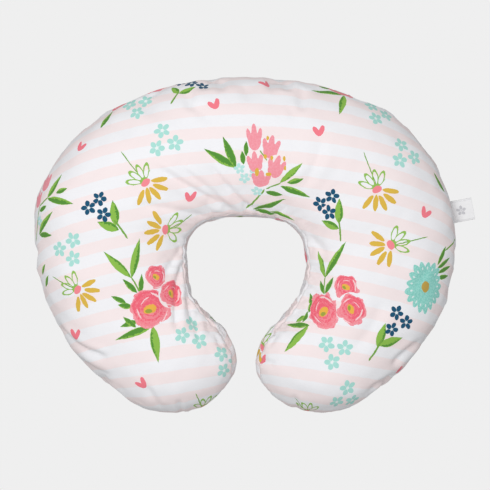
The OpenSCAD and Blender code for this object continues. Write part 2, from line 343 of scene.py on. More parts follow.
def puff_up(grid):
    """Runs the skin as cloth that is a little too large for its fill, and returns how it moves."""
    obj = closed_object("cloth_run", grid)
    co = np.array([v.co for v in obj.data.vertices]) / MM
    held = obj.vertex_groups.new(name="held")
    tight = obj.vertex_groups.new(name="tight")
    grip = 1 - smooth_step(ZIP_HELD * 0.5, ZIP_HELD, zip_distance(co))
    grip = np.maximum(grip, 1 - smooth_step(0.05, FLOOR_HELD, co[:, 2]))
    seam_points = np.concatenate((grid[:, 0], grid[:, UPPER_COLUMNS]))
    near_seam = np.array([np.linalg.norm(seam_points - p, axis=1).min() for p in co])
    for i, (g, d) in enumerate(zip(grip, near_seam)):
        held.add([i], float(g), "REPLACE")
        tight.add([i], float(math.exp(-(d / TIGHT_REACH) ** 2)), "REPLACE")
    cloth = obj.modifiers.new("cloth", "CLOTH")
    for key, value in CLOTH.items():
        setattr(cloth.settings, key, value)
    cloth.settings.effector_weights.gravity = 0
    cloth.collision_settings.use_collision = False
    cloth.point_cache.frame_end = SIM_FRAMES
    for step in range(1, SIM_FRAMES + 1):
        scene.frame_set(step)
    done = obj.evaluated_get(bpy.context.evaluated_depsgraph_get()).to_mesh()
    moved = np.array([v.co for v in done.vertices]) / MM - co
    scene.frame_set(1)
    tree = KDTree(len(co))
    for i, p in enumerate(co):
        tree.insert(p, i)
    tree.balance()
    nearest = [tree.find(p)[1] for p in grid.reshape(-1, 3)]
    out = moved[nearest].reshape(grid.shape)
    bpy.data.objects.remove(obj)
    far = np.linalg.norm(out, axis=-1, keepdims=True)
    return out * np.minimum(1, MOST_MOVED / np.maximum(far, 1e-6))


# -------- folds and puckers

# Folds seen from above: from and to in plan, how far they bow to the left, half width and depth
FOLDS = (
    (-110, -27, -24, -78, 0, 4.4, 4), (-82, -29, -20, -79, 3, 4, 3.4), (-44, -26, 4, -77, -2, 3.8, 3.6),
    (-135, -73, -54, -87, 2, 5, 2.8), (95, 6, 72, -52, 0, 6.5, 2.5), (-78, -122, -99, -158, 0, 4, 3.2),
    (-75, -128, -85, -226, -5, 3.8, 4.6), (-70, -172, -66, -220, -2, 3.8, 3.6),
    (-60, -204, -58, -240, -2, 3.6, 2.6), (-234, -224, -172, -260, -5, 4, 4.6),
    (-208, -262, -168, -283, -2, 4.2, 3.4), (216, -241, 182, -270, -2, 3.8, 4.4),
    (188, -283, 154, -299, -1, 3.6, 3.8), (168, -190, 134, -248, 3, 8, 2.6),
    (224, -150, 206, -176, 0, 5, 1.6), (10, -232, 42, -234, 1, 3.2, 2.4),
    (4, -262, 36, -268, 0, 3.4, 2.4), (-14, -250, -38, -244, 0, 3.4, 2.4),
    (-84, -310, -80, -332, 0, 3.2, 2.4), (-122, -294, -106, -320, 0, 4, 2),
    (60, -304, 66, -330, 0, 3.6, 2.2), (76, -108, 98, -132, 0, 4.5, 1.8),
    (56, -202, 82, -212, 0, 4.5, 1.8), (40, -30, 44, -78, 2, 5, 1.3),
)
# Where the real stuffing fills the cover out more: station, angle, reach of each, and how much
FULLER = (
    (-74, 8, 15, 50, 6.0),
    (190, 60, 45, 120, 3.2),
    (-190, 60, 45, 120, 4.2),
)
# Sine waves that add up to unevenness, and those that add up to a seam's gathers
WAVES, GATHERS = 14, 5


def waves(points, length, seed):
    """Smooth unevenness between about -1 and 1 at each point, with bumps of about the given length."""
    rng = np.random.default_rng(seed)
    total = np.zeros(points.shape[:-1])
    for _ in range(WAVES):
        way = rng.normal(size=3)
        way *= 2 * math.pi / (length * rng.uniform(0.7, 1.4) * np.linalg.norm(way))
        total += np.sin(points @ way + rng.uniform(0, 2 * math.pi))
    return total / math.sqrt(WAVES)


def fold_depth(points):
    """How deep the listed folds press in: a sharp valley between a high shoulder and a low one."""
    depth = np.zeros(points.shape[:-1])
    for x, y, end_x, end_y, bow, width, deep in FOLDS:
        way = np.array((end_x - x, end_y - y))
        from_start = points[..., :2] - (x, y)
        t = (from_start @ way) / (way @ way)
        aside = from_start @ (np.array((-way[1], way[0])) / np.linalg.norm(way))
        aside = aside - bow * np.sin(np.clip(t, 0, 1) * math.pi)
        valley = np.exp(-abs(aside / width) ** 1.4)
        high = np.exp(-((aside - 1.8 * width) / (1.2 * width)) ** 2)
        low = np.exp(-((aside + 1.9 * width) / (1.4 * width)) ** 2)
        along_it = smooth_step(-0.06, 0.22, t) * (1 - smooth_step(0.86, 1.06, t))
        depth += deep * (valley - 0.5 * high - 0.25 * low) * along_it
    return depth


def extra_fill():
    """How much further out the stuffing pushes each point of the fine grid."""
    total = np.zeros((len(fine_stations), len(fine_angles)))
    for station, angle, station_reach, angle_reach, size in FULLER:
        away = (fine_angles[None, :] - angle + 180) % 360 - 180
        along_arm = (fine_stations[:, None] - station) / station_reach
        total += size * np.exp(-along_arm ** 2 - (away / angle_reach) ** 2)
    return total


def pucker(along_seam, from_seam, size, reach, seed):
    """Little gathers that run away from a seam: their height at a distance along and away from it."""
    rng = np.random.default_rng(seed)
    total = np.zeros(np.broadcast(along_seam, from_seam).shape)
    for _ in range(GATHERS):
        length = rng.uniform(9, 26)
        total = total + np.sin(along_seam * 2 * math.pi / length + rng.uniform(0, 6.3)
                               + from_seam * rng.uniform(-0.05, 0.05))
    return size * total / 3 * np.exp(-from_seam / reach)


# -------- the finished skin

HOLE_COLUMN = UPPER_COLUMNS * FINER
# Below this level the skin flattens on the floor, and between these levels the floor lets go of the cloth
FLAT_BELOW = 6.0
HELD_BY_FLOOR = (3, 42)
# Heights of the filling's long and short unevenness
LUMP, SMALL_LUMP = 0.9, 0.35
# The folds fade in and out between these angles round the arm
FOLDS_FROM, FOLDS_TO = (-5, 15), (148, 168)
stations = ring_stations(RINGS_EACH_WAY)
upper_angles = ring_angles(OUTER_SEAM, HOLE_SEAM, UPPER_COLUMNS)
lower_angles = ring_angles(HOLE_SEAM - 360, OUTER_SEAM, LOWER_COLUMNS)
angles = np.concatenate((upper_angles[:-1], lower_angles[:-1] + 360))


def seam_distance(grid, column):
    """Distance along and away from the seam in a column, for each point of a closed grid."""
    away = run_length(np.roll(grid, -column, 1), axis=1)
    round_it = away[:, -1:] + np.linalg.norm(grid[:, column] - grid[:, column - 1], axis=-1)[:, None]
    return run_length(grid[:, column])[:, None], np.roll(np.minimum(away, round_it - away), column, 1)


def finished_skin():
    """The cover's outside as a fine closed grid of rings."""
    base = soften(skin(stations[:, None], angles[None, :]), 2)
    moved = puff_up(base)
    moved *= smooth_step(ZIP_HELD, 3 * ZIP_HELD, zip_distance(base))[..., None]
    moved *= smooth_step(*HELD_BY_FLOOR, base[..., 2])[..., None]
    base = base + moved - (1 - SWELL_KEPT) * soften(moved, 12)
    fine = refine_grid(base, FINER)
    free = smooth_step(ZIP_HELD * 0.5, ZIP_HELD, zip_distance(fine))
    top = smooth_step(*FOLDS_FROM, fine_angles) * (1 - smooth_step(*FOLDS_TO, fine_angles))
    lift = LUMP * waves(fine, 70, 3) + SMALL_LUMP * waves(fine, 26, 5)
    lift += extra_fill() - fold_depth(fine) * top
    lift += pucker(*seam_distance(fine, 0), 0.8, 14, 11)
    lift += pucker(*seam_distance(fine, HOLE_COLUMN), 1.0, 12, 12)
    fine = fine + normals(fine) * (lift * free)[..., None]
    low = fine[..., 2] < FLAT_BELOW
    near_floor = np.clip(fine[..., 2] / FLAT_BELOW, 0, 1)
    fine[..., 2] = np.where(low, FLAT_BELOW * near_floor * smooth_step(0, 1, near_floor), fine[..., 2])
    return fine


fine_stations = refine(stations, FINER)
closed_angles = (*angles, OUTER_SEAM + 360)
columns = np.arange(len(angles) * FINER) / FINER
fine_angles = np.interp(columns, np.arange(len(closed_angles)), closed_angles)
cover = finished_skin()


# -------- panels

# How far a panel's edge stays from its seam line, elsewhere and along the zip
EDGE_GAP = 0.15
ZIP_GAP = 5.6
GROOVE, GROOVE_WIDTH = 1.7, 1.8
UPPER_MIDDLE, LOWER_MIDDLE = 90, 270
# How much closer the points of a panel lie near its edges, from 0 to 1
DENSE = 0.62
# Where the lower panel is cut from the print
LOWER_CLOTH_SHIFT = (46, -118)
TIP_MEASURED = 400


def cut_flat(angle, middle):
    """Where the points of a panel lie on its flat cloth: across the arm from the panel's middle line."""
    side = np.where(fine_stations < 0, -1, 1)
    mirror = np.stack((side, np.ones_like(side)), -1)
    past_end = np.linspace(ARM_END, LAST_STATION, TIP_MEASURED)
    past = np.interp(abs(fine_stations), past_end, run_length(skin(past_end, middle)))
    line = skin(np.clip(fine_stations, -ARM_END, ARM_END), middle)[:, :2] + TIP_WAY * mirror * past[:, None]
    gone = run_length(skin(fine_stations[:, None], angle[None, :]), axis=1)
    centre = np.stack([np.interp(middle, angle, row) for row in gone])
    outward = (centre[:, None] - gone) * (1 if middle == UPPER_MIDDLE else -1)
    across = arm(np.minimum(abs(fine_stations), ARM_END))[1] * mirror
    return line[:, None] + across[:, None] * outward[..., None]


def edge_gap(zip_side):
    """How far a panel's edge stays from its seam line in each ring."""
    if not zip_side:
        return np.full(len(fine_stations), EDGE_GAP)
    closed = smooth_step(ZIP_SPAN - 1, ZIP_SPAN + 1.2, abs(fine_stations))
    return ZIP_GAP + (EDGE_GAP - ZIP_GAP) * closed


def respace(grid, first_gap, last_gap):
    """The same rings with their points moved along them, closer together near both edges."""
    t = np.linspace(0, 1, grid.shape[1])
    t = t - DENSE * np.sin(2 * math.pi * t) / (2 * math.pi)
    out = np.empty_like(grid)
    for ring, row in enumerate(grid):
        gone = run_length(row[:, :3])
        a = min(first_gap[ring], 0.2 * gone[-1])
        b = min(last_gap[ring], 0.2 * gone[-1])
        at = a + (gone[-1] - a - b) * t
        out[ring] = np.stack([np.interp(at, gone, row[:, k]) for k in range(row.shape[1])], -1)
    return out


def panel(columns, middle):
    """Outside of a panel with its edges turned in at the seams, and its flat cloth coordinates."""
    angle = np.append(fine_angles, OUTER_SEAM + 360)[columns]
    both = np.concatenate((cover[:, columns % cover.shape[1]], cut_flat(angle, middle)), -1)
    upper = middle == UPPER_MIDDLE
    both = respace(both, edge_gap(upper), edge_gap(not upper))
    grid = both[..., :3]
    gone = run_length(grid, axis=1)
    near = np.minimum(gone, gone[:, -1:] - gone)
    free = smooth_step(0.4 * ZIP_HELD, ZIP_HELD, zip_distance(grid))
    turned_in = GROOVE * np.exp(-(near / GROOVE_WIDTH) ** 2) * free
    grid = grid - sheet_normals(grid) * turned_in[..., None]
    grid[..., 2] = np.maximum(grid[..., 2], 0)
    return grid, both[..., 3:]


upper_columns = np.arange(0, HOLE_COLUMN + 1)
lower_columns = np.arange(HOLE_COLUMN, len(fine_angles) + 1)
upper_grid, upper_cloth = panel(upper_columns, UPPER_MIDDLE)
lower_grid, lower_cloth = panel(lower_columns, LOWER_MIDDLE)
upper_panel = sheet_object("cover_upper_panel_cloth", upper_grid, COVER_THICKNESS, upper_cloth)
lower_panel = sheet_object(
    "cover_lower_panel_cloth", lower_grid, COVER_THICKNESS, lower_cloth * (-1, 1) + LOWER_CLOTH_SHIFT)


def on_pillow(piece, slot, *nodes):
    """A piece that rides on the pillow and stands for its CAD nodes."""
    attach(piece, "pillow")
    if nodes:
        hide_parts(*nodes)
    return piece


on_pillow(upper_panel, "printed_cotton", "cover_upper_panel")
on_pillow(lower_panel, "printed_cotton", "cover_lower_panel")


# -------- seams

STITCH = 2.4
THREAD = 0.32
SEAM_DEPTH = GROOVE + 0.1
SEAM_FROM_ZIP = ZIP_SPAN + 1.4


def stitched(length):
    """Radius of a thread along its length: full on a stitch, and thin where it dips into the cloth."""
    return THREAD * (0.3 + 0.7 * abs(np.sin(math.pi * length / STITCH)) ** 0.6)


def stitches_object(name, lines, step=STITCH / 8, sides=6):
    """Rows of stitches, one along each line."""
    return tubes_object(name, [spaced(line, step) for line in lines], stitched, sides)


# In the groove between the panels, from tip to tip
seam_lines = cover - SEAM_DEPTH * normals(cover)
past_zip = seam_lines[fine_stations > SEAM_FROM_ZIP, 0]
before_zip = seam_lines[fine_stations < -SEAM_FROM_ZIP, 0]
outer_seam = stitches_object("cover_outer_seam_stitches", (past_zip, before_zip))
hole_seam = stitches_object("cover_hole_seam_stitches", (seam_lines[1:-1, HOLE_COLUMN],))
on_pillow(outer_seam, "seam_thread", "cover_outer_seam")
on_pillow(hole_seam, "seam_thread", "cover_hole_seam")


# -------- zip

TAPE_DEPTH, TAPE_THICKNESS, TAPE_WIDTH = 1.5, 0.5, 13.0
# Half of the gap between the tapes along the coil and at their ends
TAPE_APART, TAPE_TOGETHER = 0.5, 0.06
TAPE_END = ZIP_SPAN + 1.6
TAPE_ROWS, TAPE_COLUMNS = 187, 14
TOPSTITCH_FROM_SLIT, TOPSTITCH_RAISED = 2.6, 0.2
TOPSTITCH_END = ZIP_SPAN - 0.4
BAR_TACK_TURN, BAR_TACK_STEP, BAR_TACK_WIDTH, BAR_TACK_ROWS = 22.05, 0.012, 4.4, 13
# Length round the section to a degree of its angle, near the zip
MM_PER_DEGREE = 1.33
COIL_END = 21.3
COIL_PITCH, LOOP_POINTS = 1.25, 14
COIL_WIDTH, COIL_HEIGHT, COIL_WIRE = 1.7, 1.5, 0.3
COIL_GAP = 0.35
COIL_BASE = 0.1 - TAPE_DEPTH


def zip_place(turn, up, out):
    """Points at the zip: the turn along it, then how far up the surface and how far out of it."""
    turn, up, out = np.broadcast_arrays(turn, up, out)
    line = skin(0, OUTER_SEAM)
    tilt = math.radians(ZIP_TILT)
    reach = line[1] - ZIP_CENTRE + out * math.cos(tilt) + up * math.sin(tilt)
    high = line[2] - out * math.sin(tilt) + up * math.cos(tilt)
    plan = outwards(turn) * reach[..., None]
    return np.stack((plan[..., 0], plan[..., 1] + ZIP_CENTRE, high), -1)


def zip_tape(name, side):
    """A woven tape under a panel's edge, from its coil to where it is sewn in."""
    turn = np.linspace(-TAPE_END, TAPE_END, TAPE_ROWS)
    open_here = 1 - smooth_step(COIL_END + 0.3, COIL_END + 0.8, abs(turn))
    inner = (TAPE_TOGETHER + (TAPE_APART - TAPE_TOGETHER) * open_here)[:, None]
    reach = side * (inner + (TAPE_WIDTH - inner) * np.linspace(0, 1, TAPE_COLUMNS))
    grid = skin(turn[:, None], OUTER_SEAM + reach / MM_PER_DEGREE, TAPE_DEPTH)
    cloth = np.stack(np.broadcast_arrays(turn[:, None] * math.radians(BACK_RADIUS), reach), -1)
    return sheet_object(name, grid, TAPE_THICKNESS, cloth)


def zip_coil(name, side):
    """Half of the chain: one wire wound into flat loops along the tape's edge."""
    turns = round(2 * COIL_END * math.radians(BACK_RADIUS) / COIL_PITCH)
    t = np.linspace(0, turns, turns * LOOP_POINTS + 1)
    around = 2 * math.pi * (t + (0 if side > 0 else 0.5))
    wide = (COIL_WIDTH / 2 - COIL_WIRE) * np.sign(np.cos(around)) * abs(np.cos(around)) ** 0.6
    tall = (COIL_HEIGHT / 2 - COIL_WIRE) * np.sign(np.sin(around)) * abs(np.sin(around)) ** 0.8
    middle = side * (COIL_GAP + COIL_WIDTH) / 2
    turn = COIL_END * (2 * t / turns - 1)
    path = zip_place(turn, middle + wide, COIL_BASE + COIL_HEIGHT / 2 + tall)
    return tubes_object(name, [path], lambda length: np.full(len(length), COIL_WIRE), 6)


def topstitches():
    """A row of stitches on each panel beside the zip, which holds its tape, and a bar tack at each end."""
    lines = []
    for grid in (upper_grid, lower_grid[:, ::-1]):
        gone = run_length(grid, axis=1)
        raised = grid + TOPSTITCH_RAISED * sheet_normals(grid)
        rings = np.flatnonzero(abs(fine_stations) < TOPSTITCH_END)
        lines.append(np.array([
            [np.interp(TOPSTITCH_FROM_SLIT, gone[r], raised[r, :, k]) for k in range(3)] for r in rings
        ]))
    for end in (-1, 1):
        rows = np.arange(BAR_TACK_ROWS)
        turn = end * (BAR_TACK_TURN + BAR_TACK_STEP * rows)
        lines.append(zip_place(turn, BAR_TACK_WIDTH / 2 * (-1.0) ** rows, COIL_BASE + THREAD))
    return stitches_object("zip_topstitches", lines)


tape_upper = on_pillow(zip_tape("zip_tape_upper_weave", 1), "zip_tape", "zip_tape_upper")
tape_lower = on_pillow(zip_tape("zip_tape_lower_weave", -1), "zip_tape", "zip_tape_lower")
coil_upper = on_pillow(zip_coil("zip_coil_upper_loops", 1), "zip_coil", "zip_coil_upper")
coil_lower = on_pillow(zip_coil("zip_coil_lower_loops", -1), "zip_coil", "zip_coil_lower")
zip_stitches = on_pillow(topstitches(), "seam_thread")


# -------- casing and fill

CASING_SOFTER, FILL_SOFTER = 4, 8
FILL_CLEAR = 0.4


def inside(depth, softness):
    """The cover's shape, further in and smoother, and in deeper where the cover has a fold."""
    smooth = soften(cover, softness)
    out = normals(smooth)
    folds = np.maximum(0, ((smooth - cover) * out).sum(-1, keepdims=True))
    grid = smooth - (depth + soften(folds, 1)) * out
    grid[..., 2] = np.maximum(grid[..., 2], depth)
    return grid


def casing_panel(name, columns, middle):
    grid = inside(CASING_DEPTH, CASING_SOFTER)[:, columns % cover.shape[1]]
    cloth = cut_flat(np.append(fine_angles, OUTER_SEAM + 360)[columns], middle)
    return sheet_object(name, grid[1:-1, 1:-1], CASING_THICKNESS, cloth[1:-1, 1:-1])


casing_upper = casing_panel("casing_upper_panel_cloth", upper_columns, UPPER_MIDDLE)
casing_lower = casing_panel("casing_lower_panel_cloth", lower_columns, LOWER_MIDDLE)
on_pillow(casing_upper, "casing_cotton", "casing_upper_panel")
on_pillow(casing_lower, "casing_cotton", "casing_lower_panel")
casing_lines = inside(CASING_DEPTH + CASING_THICKNESS / 2, CASING_SOFTER)[2:-2]
casing_seam = stitches_object(
    "casing_seam_stitches", (casing_lines[:, 0], casing_lines[:, HOLE_COLUMN]), STITCH / 6, 5)
on_pillow(casing_seam, "seam_thread", "casing_seam")
fill_grid = inside(FILL_DEPTH + FILL_CLEAR, FILL_SOFTER)
fill_grid -= normals(fill_grid) * (0.5 + 0.5 * np.clip(waves(fill_grid, 30, 8), -1, 1))[..., None]
fill = on_pillow(closed_object("fibre_fill_wadding", fill_grid), "polyester_fibre", "fibre_fill")


# -------- side label

label_joint = next(j for j in frame["joints"] if j["name"] == "label_flap")
LABEL_AXIS = np.array(label_joint["axis"])
LABEL_OUT = np.array((-LABEL_AXIS[1], LABEL_AXIS[0], 0))
LABEL_PLACE = np.array(label_joint["pos_m"]) / MM
RIBBON = 0.28
# Half of the distance between the ribbon's two layers
LABEL_PLY = 0.55
LABEL_REACH, LABEL_WIDTH = 32.0, 28.0
LABEL_INSIDE = 2
LABEL_ROWS, LABEL_BEND_ROWS, LABEL_COLUMNS = 24, 13, 15


def side_label():
    """A ribbon folded double, its two ends sewn into the outer seam."""
    straight = np.linspace(-LABEL_INSIDE, LABEL_REACH - LABEL_PLY, LABEL_ROWS)
    flat = np.full(LABEL_ROWS, LABEL_PLY)
    bend = np.radians(np.linspace(90, -90, LABEL_BEND_ROWS)[1:-1])
    gone = np.concatenate((straight, straight[-1] + LABEL_PLY * np.cos(bend), straight[::-1]))[:, None]
    layer = np.concatenate((flat, LABEL_PLY * np.sin(bend), -flat))[:, None]
    across = np.linspace(-0.5, 0.5, LABEL_COLUMNS) * LABEL_WIDTH
    share = np.clip(gone / LABEL_REACH, 0, 1)
    bow = 0.35 * np.sin(math.pi * np.clip(gone, 0, None) / LABEL_REACH)
    wave = 0.25 * np.cos(2 * math.pi * across / LABEL_WIDTH) * share
    high = layer * (0.55 + 0.45 * share) + bow + wave
    grid = LABEL_PLACE + gone[..., None] * LABEL_OUT - across[None, :, None] * LABEL_AXIS
    grid = grid + high[..., None] * (0, 0, 1)
    cloth = np.stack(np.broadcast_arrays(gone, across), -1)
    return sheet_object("side_label_ribbon", grid, RIBBON, cloth)


label = side_label()
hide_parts("side_label")
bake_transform(label)


# -------- materials

class Value:
    """A number or vector inside a material; arithmetic and comparison of numbers make its Math nodes."""

    def __init__(self, shade, socket):
        self.shade = shade
        self.socket = socket

    def __rsub__(self, other):
        return self.shade.math("SUBTRACT", other, self)

    def __abs__(self):
        return self.shade.math("ABSOLUTE", self)


for sign, operation in (("add", "ADD"), ("radd", "ADD"), ("sub", "SUBTRACT"), ("mul", "MULTIPLY"),
                        ("rmul", "MULTIPLY"), ("lt", "LESS_THAN"), ("gt", "GREATER_THAN")):
    setattr(Value, f"__{sign}__", lambda a, b, operation=operation: a.shade.math(operation, a, b))


class Shade:
    """Makes a material's nodes, each in the order in which it is used."""

    def __init__(self, name):
        self.material = bpy.data.materials.new(name)
        self.material.use_nodes = True
        self.tree = self.material.node_tree
        self.inputs = self.tree.nodes["Principled BSDF"].inputs

    def feed(self, socket, value):
        if isinstance(value, Value):
            self.tree.links.new(value.socket, socket)
        elif value is not None:
            socket.default_value = value

    def node(self, kind, *values, output=0, **settings):
        made = self.tree.nodes.new("ShaderNode" + kind)
        for key, value in settings.items():
            setattr(made, key, value)
        for socket, value in zip(made.inputs, values):
            self.feed(socket, value)
        return Value(self, made.outputs[output])

    def math(self, operation, *values):
        return self.node("Math", *values, operation=operation)

    def wave(self, value):
        return self.math("SINE", value)

    def either(self, a, b):
        return self.math("MAXIMUM", a, b)

    def vector(self, operation, *values):
        return self.node("VectorMath", *values, operation=operation)

    def stretch(self, vector, factors):
        return self.vector("MULTIPLY", vector, factors)

    def length(self, vector):
        return self.node("VectorMath", vector, output=1, operation="LENGTH")

    def split(self, vector):
        """The x, y and z of a vector."""
        made = self.tree.nodes.new("ShaderNodeSeparateXYZ")
        self.feed(made.inputs[0], vector)
        return [Value(self, socket) for socket in made.outputs]

    def join(self, x, y):
        return self.node("CombineXYZ", x, y, 0.0)

    def place(self, vector, at, turn, size):
        """Coordinates from a place: turned by so many degrees there, and 1 at the size."""
        return self.node("Mapping", vector, at, (0, 0, math.radians(turn)), size, vector_type="TEXTURE")

    def mix(self, factor, a, b, kind="RGBA"):
        made = self.tree.nodes.new("ShaderNodeMix")
        made.data_type = kind
        ending = {"RGBA": "_Color", "VECTOR": "_Vector"}[kind]
        sockets = {i.identifier: i for i in made.inputs}
        for key, value in (("Factor_Float", factor), ("A" + ending, a), ("B" + ending, b)):
            self.feed(sockets[key], value)
        return Value(self, next(o for o in made.outputs if o.identifier == "Result" + ending))

    def noise(self, vector, scale, detail=2.0, rough=0.5, output=0):
        made = self.tree.nodes.new("ShaderNodeTexNoise")
        for key, value in (("Vector", vector), ("Scale", scale), ("Detail", detail), ("Roughness", rough)):
            self.feed(made.inputs[key], value)
        return Value(self, made.outputs[output])

    def millimetres(self, layer=None):
        """The flat cloth's coordinates if a layer is named, or else the object's own."""
        if layer:
            return self.stretch(self.node("UVMap", uv_map=layer), (1000, 1000, 0))
        return self.stretch(self.node("TexCoord", output=3), (1000, 1000, 1000))

    def bump(self, height, millimetres, strength=0.7):
        made = self.tree.nodes.new("ShaderNodeBump")
        for key, value in (("Strength", strength), ("Distance", millimetres * MM), ("Height", height)):
            self.feed(made.inputs[key], value)
        self.tree.links.new(made.outputs[0], self.inputs["Normal"])

    def weave(self, cloth, threads, height):
        """Bump of a plain weave with so many threads to a millimetre, with slubs in its threads."""
        x, y, _ = self.split(cloth)
        checks = self.wave(threads * math.pi * x) * self.wave(threads * math.pi * y)
        self.bump(0.8 * self.noise(cloth, 0.5, 2, 0.6) + 0.5 * checks, height, 0.6)

    def finish(self, base, rough, specular=0.3, sheen=0.0, metal=0.0):
        """Sets the shader's own values; base and rough may vary over the surface."""
        self.feed(self.inputs["Base Color"], base)
        self.feed(self.inputs["Roughness"], rough)
        self.inputs["Specular IOR Level"].default_value = specular
        self.inputs["Sheen Weight"].default_value = sheen
        self.inputs["Metallic"].default_value = metal
        return self.material


def colour(red, green, blue):
    """Linear colour from the 0 to 255 values that a screen shows, all of them above 10."""
    return (*(((v / 255 + 0.055) / 1.055) ** 2.4 for v in (red, green, blue)), 1)


# -------- the print

# Places on the flat cloth are in millimetres from the middle of the pillow's back
# One pink and one white stripe together, how they bend, and how far the drawn edges wander
STRIPE = 29.0
STRIPE_BEND = 0.0007
HAND_WOBBLE = 1.9
# Share of the colour that orders the layers, see pick
UNSEEN = 1e-6
# A tone adds to the distance from a place's middle, so a leaf's darkness is scaled down to this
LEAF_TONE = 0.2

# Leaves: base, tip, half width and how dark, from 0 to 1, in two layers so that a pair may share its base
LEAVES = (
    (
        (-12, -29, -51, -6, 5.6, 0.8), (0, -15, 0, 4, 3.4, 1), (40, -49, 68, -23, 4.4, 0.2),
        (23, -60, 44, -67, 4.2, 1), (8, -91, 47, -73, 4.8, 0.9), (50, -48, 69, -43, 4.2, 0.6),
        (-139, -162, -173, -130, 5.4, 0.25), (-132, -180, -150, -163, 4.2, 0.9),
        (-146, -192, -164, -184, 3.9, 0.9), (-131, -214, -153, -221, 4.2, 0.9),
        (-113, -220, -159, -237, 5.2, 0.8), (91, -162, 80, -131, 4.4, 0.2),
        (91, -182, 84, -165, 3.4, 0.9), (73, -194, 69, -180, 3.4, 0.8), (65, -206, 53, -215, 4, 0.3),
        (76, -220, 40, -216, 4.4, 0.8), (-157, -98, -161, -68, 6.6, 0.3), (111, -97, 112, -66, 6, 0.3),
        (160, -247, 169, -216, 6, 0.3), (-84, 70, -96, 86, 5, 0.4), (112, 87, 94, 89, 3, 0.9),
        (-184, 27, -175, 58, 5, 0.7), (127, 74, 114, 38, 5.2, 0.4), (262, -51, 244, -26, 4.6, 0.8),
        (-262, -174, -249, -158, 3.4, 0.7), (238, -151, 262, -136, 3.4, 0.9),
        (240, -162, 266, -160, 3.4, 0.9), (-249, -63, -232, -32, 4.8, 0.5),
        (-235, -57, -219, -52, 4, 0.7), (-268, -107, -238, -80, 4.8, 0.6),
    ),
    (
        (-12, -29, -28, 9, 5.4, 0.9), (-3, -25, -5, -8, 3.6, 1), (41, -53, 76, -67, 5, 0.8),
        (10, -92, 37, -100, 4, 0.9), (27, -93, 51, -103, 3.2, 0.6), (-139, -162, -128, -114, 5.6, 0.4),
        (-128, -180, -126, -157, 3.8, 0.9), (-138, -197, -156, -195, 4.3, 0.8),
        (-134, -222, -150, -209, 3.6, 0.8), (-114, -220, -107, -264, 6.4, 0.25),
        (91, -162, 120, -118, 4.8, 0.7), (92, -181, 104, -161, 3.8, 0.9), (71, -203, 73, -190, 3.6, 0.8),
        (65, -215, 69, -201, 3.6, 0.8), (75, -220, 46, -253, 5.4, 0.25),
        (-153, -104, -180, -94, 6.6, 0.3), (111, -103, 89, -94, 5.4, 0.4),
        (162, -244, 193, -235, 6.4, 0.3), (-84, 70, -63, 80, 5, 0.4), (128, 75, 82, 77, 4.2, 0.8),
        (240, -156, 267, -147, 3.4, 0.9), (238, -146, 252, -122, 3.4, 0.9),
        (-249, -63, -209, -72, 5, 0.7), (-266, -107, -240, -109, 4, 0.9), (-264, -78, -249, -72, 4, 0.9),
        (-266, -158, -255, -144, 3.4, 0.6),
    ),
)
# Stalks: from, to, half width
STALKS = (
    (0, -93, 22, -57, 1.7), (24, -56, 41, -49, 1.4), (17, -8, 25, -20, 1.2),
    (-139, -161, -129, -179, 1.5), (91, -161, 90, -181, 1.3), (-159, -92, -143, -114, 1.9),
    (111, -90, 113, -118, 1.8), (166, -236, 150, -262, 2), (-84, 75, -93, 53, 1.8),
    (-124, -44, -151, -9, 1), (157, -50, 142, -10, 1), (-91, -105, -60, -93, 1),
    (180, -122, 222, -112, 1), (-208, -175, -241, -160, 1), (250, -128, 284, -110, 1.5),
    (-249, -62, -264, -71, 1.6), (-264, -70, -279, -114, 1.6), (-44, -336, -61, -305, 1),
    (72, -338, 56, -315, 1),
)
# Five-petalled blossoms: the tones that stand for their colours, and the places of the navy ones
NAVY, MINT, AQUA = 0.02, 0.1, 0.18
SPRIGS = (
    (-177, -66), (-190, -77), (-172, -85), (103, -64), (88, -74), (99, -84), (183, -204), (196, -216),
    (177, -224), (-85, 97), (-70, 90), (-55, 85),
)
# Clusters of three blossoms: place and turn
CLUSTERS = (
    (-98, 4, 15), (-138, 57, -50), (197, -9, 15), (170, 50, 30), (-217, -127, -31), (-65, -229, -17),
    (-21, -265, 36), (108, -251, 48), (125, -308, 0),
)
CLUSTER_REACH = 13.0
# Single pale blossoms
TINY_BLOSSOMS = ((-8, -30), (-2, -42), (10, -36), (13, -60), (-264, -90))
# Hearts: place and turn
HEARTS = (
    (-38, 49, 25), (88, 15, 8), (-208, 2, -28), (-66, -67, -5), (220, -83, -30), (-128, -291, 42),
    (14, -262, 6), (24, 85, 35), (205, -282, -25), (-213, -232, 0),
)
# Tulips: place, turn, half width and half height
TULIPS = (
    (10, 8, 3, 10.5, 17.5), (30, -4, -8, 12, 15), (11, -22, 6, 11, 13.5), (36, -28, -16, 12, 15),
    (18, -43, -2, 13, 11.5), (-262, -38, 16, 11, 15), (-272, -60, 8, 10, 13),
)
# Daisies: place, turn of the yellow half and radius
DAISIES = (
    (-121, -47, -48, 28), (158, -55, -66, 28), (-95, -105, 186, 28), (175, -122, 206, 28),
    (-205, -176, -32, 27), (-40, -338, -80, 27), (73, -341, -88, 27),
)
# Roses: place, turn and both radii
ROSES = (
    (-116, -199, 10, 27, 26), (-107, -161, -40, 15.5, 15.5), (-86, -181, -60, 16.5, 19.5),
    (92, -202, 35, 21, 26), (121, -173, -30, 18, 16.5), (128, -200, -75, 20.5, 18.5),
    (-124, 94, 18, 23, 13), (-166, 70, 42, 18, 9), (127, 87, -28, 23, 13),
)
# Pale strokes inside a rose: middle, radius, half width, and the angles where they start and end
ROSE_STROKES = (((-0.02, 0), 0.7, 0.06, 8, 74), ((0.06, 0.04), 0.48, 0.05, 96, 150),
                ((0.02, 0), 0.62, 0.05, 176, 214), ((0, 0), 0.8, 0.04, -58, -22))
